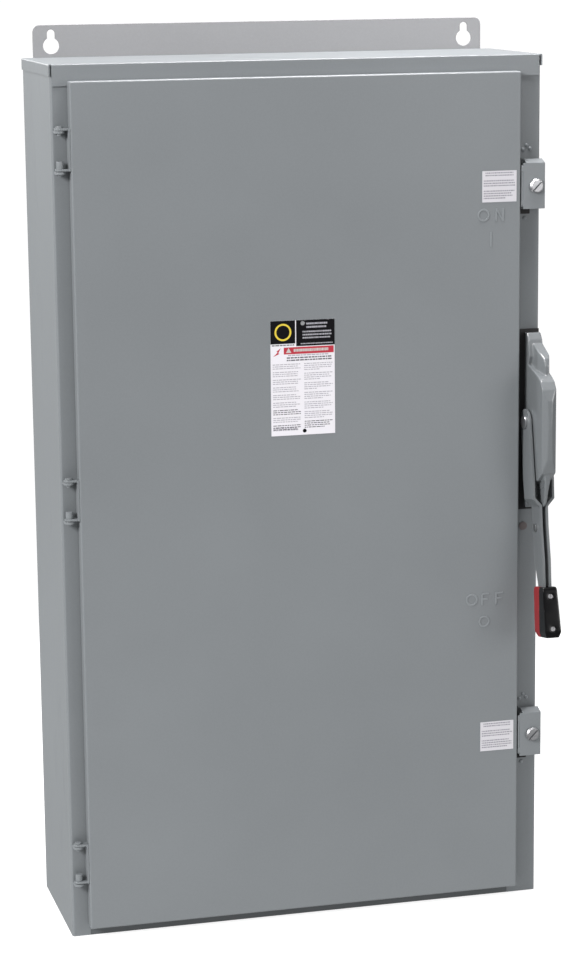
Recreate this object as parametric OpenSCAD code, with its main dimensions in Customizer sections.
// Heavy duty enclosed safety switch with a flange handle, three poles.
// X points right, Y points back to the wall, Z points up; Y = 0 is the wall face.
// Dimensions in millimetres, origin at the middle of the back panel.

/* [Enclosure] */
// Outside width of the box
box_width = 702; // [690:1:730]
// Outside height of the box, without the mounting flange
box_height = 1240; // [1220:5:1300]
// Depth from the wall to the front flange plane
box_depth = 222; // [218:1:240]
// Sheet thickness of the box and door
sheet = 2; // [1.6:0.1:2.2]
// Height of the mounting flange above the box
flange_rise = 46; // [42:1:56]
// Diameter of the round part of a mounting keyhole
keyhole_d = 23; // [20:0.5:24]
// Width of the narrow part of a mounting keyhole
keyhole_slot = 11; // [9:0.5:13]

/* [Door] */
// How far the door face stands in front of the flange plane
door_proud = 20; // [19:0.5:22]
// Radius of the hinge pins
hinge_pin_r = 3; // [2.5:0.25:3.5]

/* [Handle] */
// Forward lean of the handle in the off position, degrees
handle_lean = 10; // [8:0.5:12]
// Distance from the handle pivot to the end of the grip
handle_reach = 311; // [306:1:318]
// Radius of the handle pivot stubs
pivot_r = 6; // [5:0.5:7]

/* [Switch] */
// Distance between poles
pole_pitch = 110; // [104:1:114]
// Length of a switch blade from its pivot
blade_length = 140; // [136:1:142]
// Radius of the wire bores in the lugs
lug_bore_r = 10; // [8:0.5:12]

/* [Hidden] */

xl = -box_width / 2;
xr = box_width / 2;
zt = box_height / 2;
zl = -box_height / 2;
ox = xr - 351;
flange_left = 26;
flange_right = 44;
door_x0 = xl + 23;
door_x1 = xr - 35.5;
door_z0 = zl + 15;
door_z1 = zt - 22.5;
hinge_x = xl + 9.5;
hinge_h = 10;
hinge_z = [zt - 114, 21.5, zl + 113];
latch_z = [zt - 184, zl + 249];
latch_screw_x = xr - 12.5;
latch_axis_x = xr - 32.5;
pivot_z = 97;
pivot_h = 23;
blade_h = -146;
blade_open = 65;
crank_r = 61.4;
arm_r = 34;
pole_x = [-pole_pitch, 0, pole_pitch];

// Block given by its X range, its distance range in front of the flange plane and its Z range.
module blk(x0, x1, h0, h1, z0, z1) {
    translate([x0, -box_depth - h1, z0])
        cube([x1 - x0, h1 - h0, z1 - z0]);
}

// Round bar along Y, from h0 to h1 in front of the flange plane.
module rod_y(x, z, r, h0, h1, n = 48) {
    translate([x, -box_depth - h0, z])
        rotate([90, 0, 0])
            cylinder(r = r, h = h1 - h0, $fn = n);
}

// Round bar along Z at X and h.
module rod_z(x, h, r, z0, z1, n = 48) {
    translate([x, -box_depth - h, z0])
        cylinder(r = r, h = z1 - z0, $fn = n);
}

// Round bar along X at h and Z.
module rod_x(h, z, r, x0, x1, n = 48) {
    translate([x0, -box_depth - h, z])
        rotate([0, 90, 0])
            cylinder(r = r, h = x1 - x0, $fn = n);
}

// Outline of [Y, Z] points drawn as a plate from x0 to x1.
module plate_x(x0, x1, pts) {
    translate([x0, 0, 0])
        rotate([90, 0, 90])
            linear_extrude(x1 - x0)
                polygon(pts);
}

// Outline of [X, Z] points drawn as a plate from y0 (front) to y1 (back).
module plate_y(y0, y1, pts) {
    translate([0, y1, 0])
        rotate([90, 0, 0])
            linear_extrude(y1 - y0)
                polygon(pts);
}

// Places the handle parts: local -Z runs down the handle, local -Y is its front.
module in_handle() {
    translate([ox, -box_depth - pivot_h, pivot_z])
        rotate([-handle_lean, 0, 0])
            children();
}

// Places the cover parts: local Z = 0 at the handle pivot, local -Y forward of the flange plane.
module in_cover() {
    translate([ox, -box_depth, pivot_z])
        children();
}

// Places parts that turn with the blades: local +Z runs along the open blades.
module in_blade() {
    translate([0, -box_depth - blade_h, pivot_z])
        rotate([blade_open, 0, 0])
            children();
}

module keyhole(x) {
    rod_y(x, zt + 16.5, keyhole_d / 2, -box_depth - 1, -box_depth + sheet + 1);
    rod_y(x, zt + 34, keyhole_slot / 2, -box_depth - 1, -box_depth + sheet + 1);
    blk(x - keyhole_slot / 2, x + keyhole_slot / 2, -box_depth - 1, -box_depth + sheet + 1, zt + 16.5, zt + 34);
}

module back_panel() {
    color([0.62, 0.63, 0.65])
        difference() {
            union() {
                blk(xl, xr, -box_depth, -box_depth + sheet, zl, zt);
                blk(xl + 15, xr - 15, -box_depth, -box_depth + sheet, zt, zt + flange_rise - 10);
                blk(xl + 25, xr - 25, -box_depth, -box_depth + sheet, zt, zt + flange_rise);
                rod_y(xl + 25, zt + flange_rise - 10, 10, -box_depth, -box_depth + sheet);
                rod_y(xr - 25, zt + flange_rise - 10, 10, -box_depth, -box_depth + sheet);
            }
            keyhole(xl + 41.5);
            keyhole(xr - 41.5);
            rod_y(xl + 41.5, zl + 40, 5.5, -box_depth - 1, -box_depth + sheet + 1);
            rod_y(xr - 41.5, zl + 40, 5.5, -box_depth - 1, -box_depth + sheet + 1);
        }
}

module left_side() {
    color([0.58, 0.6, 0.61])
        union() {
            blk(xl, xl + sheet, -box_depth + sheet, 0, zl, zt - sheet);
            blk(xl, xl + flange_left, -sheet, 0, zl, zt - sheet);
        }
}

module right_side() {
    color([0.58, 0.6, 0.61])
        difference() {
            union() {
                blk(xr - sheet, xr, -box_depth + sheet, 0, zl, zt - sheet);
                blk(xr - flange_right, xr, -sheet, 0, zl, zt - sheet);
            }
            blk(xr - 20.5, xr - sheet, -sheet - 1, 1, pivot_z - 122, pivot_z + 122);
            rod_y(xr - 22, pivot_z - 157.5, 3.5, -sheet - 1, 1);
        }
}

module hood() {
    color([0.66, 0.67, 0.69])
        union() {
            blk(xl - sheet, xr + sheet, -box_depth + sheet, sheet, zt - sheet, zt);
            blk(xl - sheet, xr + sheet, 0, sheet, zt - 29.5, zt);
            blk(xl - sheet, xl, -box_depth + sheet, sheet, zt - 14, zt);
            blk(xr, xr + sheet, -box_depth + sheet, sheet, zt - 14, zt);
        }
}

// Ring groove that marks a knockout, cut 1 mm into the bottom wall.
module knockout_ring(x, h, r) {
    difference() {
        rod_z(x, h, r, zl - 1, zl + 1);
        rod_z(x, h, r - 1.6, zl - 2, zl + 2);
    }
}

module bottom_wall() {
    color([0.45, 0.46, 0.48])
        difference() {
            union() {
                blk(xl + sheet, xr - sheet, -box_depth + sheet, -sheet, zl, zl + sheet);
                blk(xl + flange_left, xr - flange_right, -sheet, 0, zl, zl + 26);
            }
            for (x = [-160, 0, 160])
                for (r = [38, 28])
                    knockout_ring(x, -110, r);
        }
}

module mounting_pan() {
    color([0.7, 0.71, 0.72])
        difference() {
            blk(-270, 312, -206, -203, -340, 480);
            for (x = [-240, 285])
                for (z = [-310, 450])
                    rod_y(x, z, 4.5, -207, -202);
        }
}

module pan_spacers() {
    color([0.55, 0.56, 0.58])
        for (x = [-240, 285])
            for (z = [-310, 450])
                difference() {
                    rod_y(x, z, 9, -box_depth + sheet, -206);
                    rod_y(x, z, 3.4, -box_depth + sheet + 2, -205);
                }
}

module door() {
    color([0.54, 0.56, 0.57])
        difference() {
            blk(door_x0, door_x1, 3, door_proud, door_z0, door_z1);
            blk(door_x0 + sheet, door_x1 - sheet, 2, door_proud - sheet, door_z0 + sheet, door_z1 - sheet);
        }
}

module letter_o(x, z, r) {
    difference() {
        rod_y(x, z, r, door_proud, door_proud + 0.8, 40);
        rod_y(x, z, r - 2.6, door_proud - 1, door_proud + 2, 40);
    }
}

module letter_f(x, z) {
    blk(x - 6, x - 3.4, door_proud, door_proud + 0.8, z - 9, z + 9);
    blk(x - 6, x + 6, door_proud, door_proud + 0.8, z + 6.4, z + 9);
    blk(x - 6, x + 4, door_proud, door_proud + 0.8, z - 1.3, z + 1.3);
}

module letter_n(x, z) {
    difference() {
        plate_y(-box_depth - door_proud - 0.8, -box_depth - door_proud,
                [[x - 6.5, z - 9], [x - 3.9, z - 9], [x - 3.9, z + 4.5], [x + 3.9, z - 9], [x + 6.5, z - 9],
                 [x + 6.5, z + 9], [x + 3.9, z + 9], [x + 3.9, z - 4.5], [x - 3.9, z + 9], [x - 6.5, z + 9]]);
    }
}

module door_legends() {
    color([0.54, 0.56, 0.57])
        union() {
            letter_o(xr - 91, pivot_z + 300, 9);
            letter_n(xr - 67, pivot_z + 300);
            blk(xr - 81.3, xr - 78.7, door_proud, door_proud + 0.8, pivot_z + 255, pivot_z + 276);
            letter_o(xr - 107, pivot_z - 258, 9);
            letter_f(xr - 86.5, pivot_z - 258);
            letter_f(xr - 65, pivot_z - 258);
            letter_o(xr - 88, pivot_z - 291.5, 8.5);
        }
}

module door_stiffener() {
    color([0.5, 0.52, 0.53])
        difference() {
            blk(-40, 40, 6, door_proud - sheet, door_z0 + 60, door_z1 - 60);
            blk(-38.4, 38.4, 7.6, door_proud, door_z0 + 59, door_z1 - 59);
        }
}

// C shaped hinge strap on the door edge; z is the middle of the hinge.
module hinge_strap(z) {
    color([0.52, 0.54, 0.55])
        difference() {
            union() {
                blk(door_x0 - 2.5, door_x0, 4, door_proud - 1, z - 29, z + 29);
                for (s = [26, -29]) {
                    rod_z(hinge_x, hinge_h, 7, z + s, z + s + 3);
                    blk(hinge_x, door_x0 - 2.5, hinge_h - 7, hinge_h + 7, z + s, z + s + 3);
                }
            }
            rod_z(hinge_x, hinge_h, hinge_pin_r, z - 40, z + 40);
        }
}

module hinge_strap_top() {
    hinge_strap(hinge_z[0]);
}

module hinge_strap_mid() {
    hinge_strap(hinge_z[1]);
}

module hinge_strap_low() {
    hinge_strap(hinge_z[2]);
}

module hinge_tabs() {
    color([0.5, 0.52, 0.53])
        for (z = hinge_z)
            for (s = [22, -33.5])
                difference() {
                    union() {
                        rod_z(hinge_x, hinge_h, 7, z + s, z + s + 3.5);
                        blk(hinge_x - 7, hinge_x + 7, 0, hinge_h, z + s, z + s + 3.5);
                    }
                    rod_z(hinge_x, hinge_h, hinge_pin_r + 0.06, z + s - 1, z + s + 5);
                }
}

module hinge_pins() {
    color([0.6, 0.61, 0.63])
        for (z = hinge_z) {
            union() {
                rod_z(hinge_x, hinge_h, hinge_pin_r, z + 18.5, z + 29);
                rod_z(hinge_x, hinge_h, hinge_pin_r + 1.8, z + 29, z + 31.5);
            }
            union() {
                rod_z(hinge_x, hinge_h, hinge_pin_r, z - 36, z - 26);
                rod_z(hinge_x, hinge_h, 5, z - 26, z - 16);
            }
        }
}

// Hinged hasp that closes over the right flange; z is the middle of the hasp.
module latch_hasp(z) {
    yf = -box_depth - door_proud;
    color([0.52, 0.54, 0.55])
        difference() {
            union() {
                blk(latch_axis_x + 1, xr + 0.8, door_proud - 2, door_proud, z - 32.5, z + 32.5);
                blk(xr - 1.2, xr + 0.8, 2.5, door_proud, z - 32.5, z + 32.5);
                blk(latch_axis_x + 6, xr + 0.8, 5, door_proud, z - 32.5, z - 30.5);
                plate_x(latch_axis_x + 6, xr + 0.8,
                        [[yf, z + 32.5], [yf, z + 30.2], [yf + 14, z + 35.2], [yf + 14, z + 37.5]]);
                for (s = [-27, 21])
                    blk(door_x1 + 1.2, latch_axis_x + 1, door_proud - 2, door_proud, z + s, z + s + 6);
                rod_z(latch_axis_x, door_proud - 2.4, 1.6, z - 29, z + 29, 24);
            }
            rod_y(latch_screw_x, z, 3.6, 0, door_proud + 1);
        }
}

module latch_hasp_top() {
    latch_hasp(latch_z[0]);
}

module latch_hasp_low() {
    latch_hasp(latch_z[1]);
}

module latch_screw(z) {
    color([0.8, 0.8, 0.8])
        difference() {
            union() {
                rod_y(latch_screw_x, z, 10.2, door_proud, door_proud + 3.5);
                translate([latch_screw_x, -box_depth - door_proud - 3.5, z])
                    rotate([90, 0, 0])
                        cylinder(r1 = 10.2, r2 = 8, h = 2, $fn = 48);
                rod_y(latch_screw_x, z, 3, 7, door_proud);
                rod_y(latch_screw_x, z, 4.6, door_proud - 4.6, door_proud - 3.1);
            }
            translate([latch_screw_x, -box_depth - door_proud - 4.5, z])
                rotate([0, -45, 0])
                    cube([24, 4, 2.6], center = true);
        }
}

module latch_screw_top() {
    latch_screw(latch_z[0]);
}

module latch_screw_low() {
    latch_screw(latch_z[1]);
}

module latch_catches() {
    color([0.45, 0.46, 0.48])
        for (z = latch_z)
            difference() {
                blk(xr - 25, xr - 4, 0, 9, z - 27, z + 28);
                rod_y(latch_screw_x, z, 5.4, -1, 10);
                blk(xr - 26, xr - 3, -1, 6, z - 18, z - 10);
                blk(xr - 26, xr - 3, -1, 6, z + 10, z + 18);
            }
}

module label_main() {
    color([0.9, 0.9, 0.92])
        difference() {
            blk(-53, 40, door_proud, door_proud + 0.4, 97, 260);
            rod_y(-6.5, 255.5, 1.6, door_proud - 1, door_proud + 1, 24);
        }
}

module latch_labels() {
    color([0.9, 0.9, 0.92])
        for (z = [latch_z[0] + 1, latch_z[1] + 2])
            blk(door_x1 - 57.5, door_x1 - 6.5, door_proud, door_proud + 0.4, z - 22, z + 22);
}

module label_rivet() {
    color([0.75, 0.75, 0.76])
        union() {
            rod_y(-6.5, 255.5, 1.6, door_proud, door_proud + 0.5, 24);
            rod_y(-6.5, 255.5, 3, door_proud + 0.4, door_proud + 1.4, 24);
        }
}

module operator_gasket() {
    color([0.08, 0.08, 0.09])
        difference() {
            blk(xr - 31.5, xr - 0.5, 0, 3, pivot_z - 132, pivot_z + 132.5);
            blk(xr - 20, xr - 3, -1, 4, pivot_z - 121, pivot_z + 121);
        }
}

// Formed cover over the handle drive: base, main shell, upper hump and lower tongue.
module operator_cover() {
    color([0.52, 0.54, 0.55])
        in_cover()
            difference() {
                union() {
                    plate_x(328.5, 350, [[-3, -128], [-3, 128], [-12, 128], [-20, 119], [-24, 95], [-16, 80],
                                         [-16, -86], [-12, -128]]);
                    intersection() {
                        plate_x(328.5, 350, [[-3, 86], [-16, 84], [-60, 72], [-72, 66], [-80, 55], [-84, 40],
                                             [-85, 5], [-84, -46], [-79, -66], [-62, -79], [-3, -92]]);
                        linear_extrude(height = 200, center = true)
                            polygon([[328.5, 0], [328.5, -79], [337, -85.5], [341.5, -85.5], [350, -79], [350, 0]]);
                    }
                    intersection() {
                        plate_x(335, 350, [[-3, 122], [-18, 115], [-46, 102], [-55, 96], [-58.5, 86], [-59, 60],
                                           [-3, 60]]);
                        linear_extrude(height = 300, center = true)
                            polygon([[335, 0], [335, -40], [341, -60], [346, -60], [350, -48], [350, 0]]);
                    }
                    intersection() {
                        plate_x(333, 346, [[-3, -60], [-78, -60], [-75, -80], [-67, -112], [-60, -118], [-12, -126],
                                           [-3, -126]]);
                        plate_y(-100, 0, [[333.5, -60], [345, -60], [342.4, -90], [340.6, -126], [338, -126],
                                          [336.1, -90]]);
                    }
                }
                plate_x(331, 347.5, [[0, -121], [0, 121], [-10, 121], [-16, 116], [-20, 93], [-13, 78],
                                     [-13, -84], [-10, -121]]);
                intersection() {
                    plate_x(331, 347.5, [[0, 82], [-14, 80], [-57, 69], [-69, 62], [-76.5, 52], [-80, 39],
                                         [-81, 5], [-80, -44], [-75.5, -62], [-60, -75], [0, -88]]);
                    linear_extrude(height = 200, center = true)
                        polygon([[331, 1], [331, -77.5], [337.8, -82.4], [340.7, -82.4], [347.5, -77.5], [347.5, 1]]);
                }
                translate([320, -pivot_h, 0])
                    rotate([0, 90, 0])
                        cylinder(r = pivot_r + 0.06, h = 40, $fn = 48);
            }
}

module flange_plug() {
    color([0.3, 0.22, 0.22])
        union() {
            rod_y(xr - 22, pivot_z - 157.5, 6.2, 0, 1.4);
            rod_y(xr - 22, pivot_z - 157.5, 3.4, -4, 0);
        }
}

// Side outline of a yoke leg as [Y, Z] points in the handle frame.
leg_outline = [[-19, 0], [-20.5, -81], [-17.5, -112], [-15, -150], [-17, -200], [-14, -238], [-12, -294],
               [6, -294], [8, -238], [17, -205], [18, -150], [20, -112], [21, -82], [19, 0]];

module leg_blank(x0, x1) {
    difference() {
        union() {
            plate_x(x0, x1, leg_outline);
            translate([x0, 0, 0])
                rotate([0, 90, 0])
                    cylinder(r = 19, h = x1 - x0, $fn = 64);
        }
        translate([x0 - 1, 0, 0])
            rotate([0, 90, 0])
                cylinder(r = pivot_r, h = x1 - x0 + 2, $fn = 48);
        translate([x0 - 1, 5, -153])
            rotate([0, 90, 0])
                cylinder(r = 3.5, h = x1 - x0 + 2, $fn = 40);
    }
}

module yoke_left() {
    color([0.5, 0.51, 0.52])
        in_handle()
            intersection() {
                leg_blank(320, 340);
                plate_y(-40, 40, [[323, 25], [326.5, 25], [326.5, -109], [336.5, -120], [336.5, -296],
                                  [333, -296], [333, -122], [323, -111]]);
            }
}

module yoke_right() {
    color([0.5, 0.51, 0.52])
        in_handle()
            intersection() {
                leg_blank(340, 358);
                plate_y(-40, 40, [[352, 25], [355.5, 25], [355.5, -111], [345.5, -122], [345.5, -296],
                                  [342, -296], [342, -120], [352, -109]]);
            }
}

module yoke_pivots() {
    color([0.62, 0.63, 0.65])
        in_handle() {
            union() {
                translate([323, 0, 0])
                    rotate([0, 90, 0])
                        cylinder(r = pivot_r, h = 8, $fn = 48);
                translate([320, 0, 0])
                    rotate([0, 90, 0])
                        cylinder(r = pivot_r + 3.5, h = 3, $fn = 48);
            }
            union() {
                translate([337.5, 0, 0])
                    rotate([0, 90, 0])
                        cylinder(r = pivot_r, h = 18, $fn = 48);
                translate([355.5, 0, 0])
                    rotate([0, 90, 0])
                        cylinder(r = pivot_r + 3.5, h = 3, $fn = 48);
            }
        }
}

module cross_pin() {
    color([0.7, 0.71, 0.72])
        in_handle()
            translate([330.5, 5, -153])
                rotate([0, 90, 0])
                    union() {
                        translate([0, 0, 0])
                            cylinder(r = 5.5, h = 2.5, $fn = 40);
                        translate([0, 0, 2.5])
                            cylinder(r = 3.5, h = 12.5, $fn = 40);
                        translate([0, 0, 15])
                            cylinder(r = 5.5, h = 2.5, $fn = 40);
                    }
}

grip_split = [[-7, -237], [-1.5, -handle_reach]];

// Grip outline seen from the front, as [X, Z] points in the handle frame.
module grip_front_outline() {
    plate_y(-45, 45, [[329, -238], [349.3, -238], [350.2, -243], [351.2, -handle_reach + 8],
                      [348.6, -handle_reach], [329.8, -handle_reach], [327, -handle_reach + 8], [328.1, -243]]);
}

module grip_pocket() {
    translate([333, -15.3, -297])
        cube([12.5, 24.8, 62]);
}

// Heights of the two grip screws and the seats of their heads, as [Y, Z] in the handle frame.
grip_screw_seats = [[-22, -251], [-26, -298]];

module grip_bore(s, r, y0, y1) {
    translate([339.25, y1, s[1]])
        rotate([90, 0, 0])
            cylinder(r = r, h = y1 - y0, $fn = 40);
}

module grip_front() {
    color([0.1, 0.1, 0.11])
        in_handle()
            difference() {
                intersection() {
                    plate_x(320, 360, [grip_split[0], [-21, -237], [-24, -241], [-30, -handle_reach + 9],
                                       [-26, -handle_reach], grip_split[1]]);
                    grip_front_outline();
                }
                grip_pocket();
                for (s = grip_screw_seats) {
                    grip_bore(s, 2.2, -45, 12);
                    grip_bore(s, 3.7, -45, s[0]);
                }
            }
}

module grip_rear() {
    color([0.68, 0.16, 0.18])
        in_handle()
            difference() {
                intersection() {
                    plate_x(320, 360, [grip_split[0], grip_split[1], [11, -handle_reach], [17, -handle_reach + 9],
                                       [15, -241], [12, -237]]);
                    grip_front_outline();
                }
                grip_pocket();
                for (s = grip_screw_seats)
                    grip_bore(s, 2.2, -20, 12);
            }
}

module grip_screws() {
    color([0.75, 0.75, 0.76])
        in_handle()
            for (s = grip_screw_seats)
                difference() {
                    union() {
                        grip_bore(s, 2, s[0], 11);
                        grip_bore(s, 3.3, s[0] - 2.4, s[0]);
                    }
                    translate([339.25, s[0] - 2.4, s[1]])
                        cube([1.1, 2.2, 10], center = true);
                }
}

module drive_arm() {
    color([0.6, 0.61, 0.63])
        in_handle()
            difference() {
                union() {
                    translate([338, 0, 0])
                        rotate([0, 90, 0])
                            cylinder(r = 12, h = 5.5, $fn = 48);
                    translate([338, 0, -arm_r])
                        rotate([0, 90, 0])
                            cylinder(r = 7, h = 5.5, $fn = 48);
                    translate([338, -7, -arm_r])
                        cube([5.5, 14, arm_r]);
                    translate([331.6, 0, -arm_r])
                        rotate([0, 90, 0])
                            cylinder(r = 3.5, h = 8, $fn = 32);
                }
                translate([330, 0, 0])
                    rotate([0, 90, 0])
                        cylinder(r = pivot_r, h = 20, $fn = 48);
            }
}

bar_z0 = pivot_z - arm_r * cos(handle_lean);

module drive_bar() {
    color([0.66, 0.67, 0.68])
        translate([ox, 0, 0])
            difference() {
                union() {
                    blk(332, 335, 20, 66, bar_z0 - 15, bar_z0 + 15);
                    blk(332, 335, -106, 24, bar_z0 - 11, bar_z0 + 11);
                }
                blk(331, 336, 23, 62, bar_z0 - 9.5, bar_z0 + 9.5);
                blk(331, 336, -99, -80, bar_z0 - 5.2, bar_z0 + 5.2);
            }
}

module drive_guide() {
    color([0.5, 0.51, 0.52])
        translate([ox, 0, 0])
            difference() {
                blk(328, 351 - sheet, -66, -44, pivot_z - 66, pivot_z + 66);
                blk(331.5, 335.5, -67, -43, pivot_z - 56, pivot_z + 56);
                blk(337.5, 351 - sheet - 3, -67, -43, pivot_z - 56, pivot_z + 56);
            }
}

module blade_crank() {
    a0 = -32.5;
    pz = pivot_z + crank_r * sin(a0);
    ph = blade_h + crank_r * cos(a0);
    ca = 90 - blade_open;
    cz = pivot_z + 68 * sin(ca);
    ch = blade_h + 68 * cos(ca);
    color([0.6, 0.61, 0.63])
        translate([ox, 0, 0])
            union() {
                rod_x(blade_h, pivot_z, 16, 325, 329.5);
                rod_x(ph, pz, 7, 325, 329.5);
                plate_x(325, 329.5, [[-box_depth - blade_h, pivot_z - 15], [-box_depth - ph - 2, pz - 6.5],
                                     [-box_depth - ph - 6.5, pz + 2], [-box_depth - ch - 9, cz + 6],
                                     [-box_depth - ch + 2, cz + 12], [-box_depth - blade_h, pivot_z + 15]]);
                rod_x(ph, pz, 3.5, 329, 335.4, 32);
                rod_x(blade_h, pivot_z, 8, 300, 325.5);
            }
}

module crank_bracket() {
    color([0.55, 0.56, 0.58])
        translate([ox, 0, 0])
            difference() {
                union() {
                    blk(306, 310, -203, blade_h, pivot_z - 26, pivot_z + 26);
                    rod_x(blade_h, pivot_z, 18, 306, 310);
                    blk(278, 310, -203, -199, pivot_z - 26, pivot_z + 26);
                }
                rod_x(blade_h, pivot_z, 8.06, 300, 315);
            }
}

module crossbar() {
    color([0.42, 0.12, 0.1])
        in_blade()
            difference() {
                translate([-pole_pitch - 40, -17, 58])
                    cube([pole_pitch + 40 + 325 + ox, 34, 20]);
                for (x = pole_x)
                    translate([x - 3, -12, 57])
                        cube([6, 24, 22]);
            }
}

module switch_blades() {
    color([0.72, 0.45, 0.3])
        in_blade()
            for (x = pole_x)
                difference() {
                    union() {
                        translate([x - 3, -12, 0])
                            cube([6, 24, blade_length]);
                        translate([x - 3, 0, 0])
                            rotate([0, 90, 0])
                                cylinder(r = 13, h = 6, $fn = 48);
                    }
                    translate([x - 4, 0, 0])
                        rotate([0, 90, 0])
                            cylinder(r = 6, h = 8, $fn = 40);
                }
}

module blade_pivots() {
    color([0.7, 0.71, 0.72])
        for (x = pole_x)
            union() {
                rod_x(blade_h, pivot_z, 6, x - 10, x + 10, 40);
                rod_x(blade_h, pivot_z, 8.5, x - 12.5, x - 9.6, 40);
                rod_x(blade_h, pivot_z, 8.5, x + 9.6, x + 12.5, 40);
            }
}

module line_base() {
    color([0.16, 0.15, 0.15])
        union() {
            blk(-pole_pitch - 68, pole_pitch + 68, -203, -168, pivot_z + 100, pivot_z + 330);
            for (i = [-1.5, -0.5, 0.5, 1.5])
                blk(i * pole_pitch - 2.5, i * pole_pitch + 2.5, -168, -76, pivot_z + 110, pivot_z + 330);
        }
}

module line_terminals() {
    color([0.74, 0.48, 0.33])
        for (x = pole_x)
            union() {
                blk(x - 16, x + 16, -168, -163, pivot_z + 104, pivot_z + 318);
                for (s = [-1, 1])
                    blk(x + s * 5.4 - 2, x + s * 5.4 + 2, -163, -122, pivot_z + 108, pivot_z + 146);
            }
}

// One lug block with a wire bore along Z and a screw hole in its front.
module lug(x, z0, z1) {
    difference() {
        blk(x - 18, x + 18, -163, -122, z0, z1);
        rod_z(x, -143, lug_bore_r, z0 - 1, z1 + 1);
        rod_y(x, (z0 + z1) / 2, 6.5, -143, -121);
    }
}

module line_lugs() {
    color([0.8, 0.81, 0.82])
        for (x = pole_x)
            lug(x, pivot_z + 245, pivot_z + 305);
}

module lug_screws() {
    color([0.66, 0.67, 0.68])
        for (x = pole_x)
            for (z = [pivot_z + 275, pivot_z - 360])
                difference() {
                    rod_y(x, z, 6.4, -143 + lug_bore_r + 0.3, -118, 40);
                    rod_y(x, z, 3.4, -124, -117, 6);
                }
}

module arc_chutes() {
    color([0.36, 0.37, 0.38])
        for (x = pole_x)
            difference() {
                blk(x - 26, x + 26, -168, -80, pivot_z + 112, pivot_z + 196);
                blk(x - 16, x + 16, -169, -157, pivot_z + 111, pivot_z + 197);
                blk(x - 11, x + 11, -158, -79, pivot_z + 111, pivot_z + 188);
                for (k = [0:5])
                    blk(x - 22, x + 22, -92, -79, pivot_z + 118 + k * 12, pivot_z + 123 + k * 12);
            }
}

module shield_posts() {
    color([0.85, 0.85, 0.82])
        for (x = [-pole_pitch - 62, pole_pitch + 62])
            for (z = [pivot_z + 215, pivot_z + 320])
                rod_y(x, z, 4, -168, -66, 32);
}

module line_shield() {
    color([0.8, 0.85, 0.88, 0.4])
        difference() {
            blk(-pole_pitch - 69, pole_pitch + 69, -66, -63.5, pivot_z + 205, pivot_z + 345);
            for (x = pole_x)
                rod_y(x, pivot_z + 275, 9, -67, -62);
        }
}

module hinge_base() {
    color([0.16, 0.15, 0.15])
        blk(-pole_pitch - 65, pole_pitch + 65, -203, -168, pivot_z - 95, pivot_z + 50);
}

// Clip pair that holds the blade of a fuse.
module fuse_clip(x, z0, z1) {
    for (s = [-1, 1])
        blk(x + s * 5.2 - 1.8, x + s * 5.2 + 1.8, -163, -128, z0, z1);
}

module hinge_terminals() {
    color([0.74, 0.48, 0.33])
        for (x = pole_x)
            difference() {
                union() {
                    blk(x - 16, x + 16, -168, -163, pivot_z - 90, pivot_z + 42);
                    for (s = [-1, 1])
                        blk(x + s * 5.4 - 2, x + s * 5.4 + 2, -163, blade_h + 11, pivot_z - 14, pivot_z + 14);
                    fuse_clip(x, pivot_z - 82, pivot_z - 50);
                }
                rod_x(blade_h, pivot_z, 6.06, x - 10, x + 10, 40);
            }
}

module lower_base() {
    color([0.16, 0.15, 0.15])
        blk(-pole_pitch - 65, pole_pitch + 65, -203, -168, pivot_z - 410, pivot_z - 240);
}

module lower_terminals() {
    color([0.74, 0.48, 0.33])
        for (x = pole_x)
            union() {
                blk(x - 16, x + 16, -168, -163, pivot_z - 400, pivot_z - 246);
                fuse_clip(x, pivot_z - 300, pivot_z - 268);
            }
}

module load_lugs() {
    color([0.8, 0.81, 0.82])
        for (x = pole_x)
            lug(x, pivot_z - 390, pivot_z - 330);
}

module fuses() {
    color([0.82, 0.8, 0.7])
        for (x = pole_x)
            union() {
                rod_z(x, -144, 28, pivot_z - 232, pivot_z - 118, 64);
                rod_z(x, -144, 29.5, pivot_z - 232, pivot_z - 216, 64);
                rod_z(x, -144, 29.5, pivot_z - 134, pivot_z - 118, 64);
                blk(x - 3.4, x + 3.4, -158, -130, pivot_z - 296, pivot_z - 231);
                blk(x - 3.4, x + 3.4, -158, -130, pivot_z - 119, pivot_z - 54);
            }
}

module ground_bar() {
    color([0.8, 0.81, 0.82])
        difference() {
            blk(-300, -180, -box_depth + sheet, -box_depth + sheet + 16, zl + 120, zl + 142);
            for (k = [0:4])
                rod_z(-285 + k * 22.5, -box_depth + sheet + 8, 4.5, zl + 119, zl + 143, 32);
        }
}

back_panel();
left_side();
right_side();
hood();
bottom_wall();
mounting_pan();
pan_spacers();
door();
door_legends();
door_stiffener();
hinge_strap_top();
hinge_strap_mid();
hinge_strap_low();
hinge_tabs();
hinge_pins();
latch_hasp_top();
latch_hasp_low();
latch_screw_top();
latch_screw_low();
latch_catches();
label_main();
latch_labels();
label_rivet();
operator_gasket();
operator_cover();
flange_plug();
yoke_left();
yoke_right();
yoke_pivots();
cross_pin();
grip_front();
grip_rear();
grip_screws();
drive_arm();
drive_bar();
drive_guide();
blade_crank();
crank_bracket();
crossbar();
switch_blades();
blade_pivots();
line_base();
line_terminals();
line_lugs();
lug_screws();
arc_chutes();
line_shield();
shield_posts();
hinge_base();
hinge_terminals();
lower_base();
lower_terminals();
load_lugs();
fuses();
ground_bar();
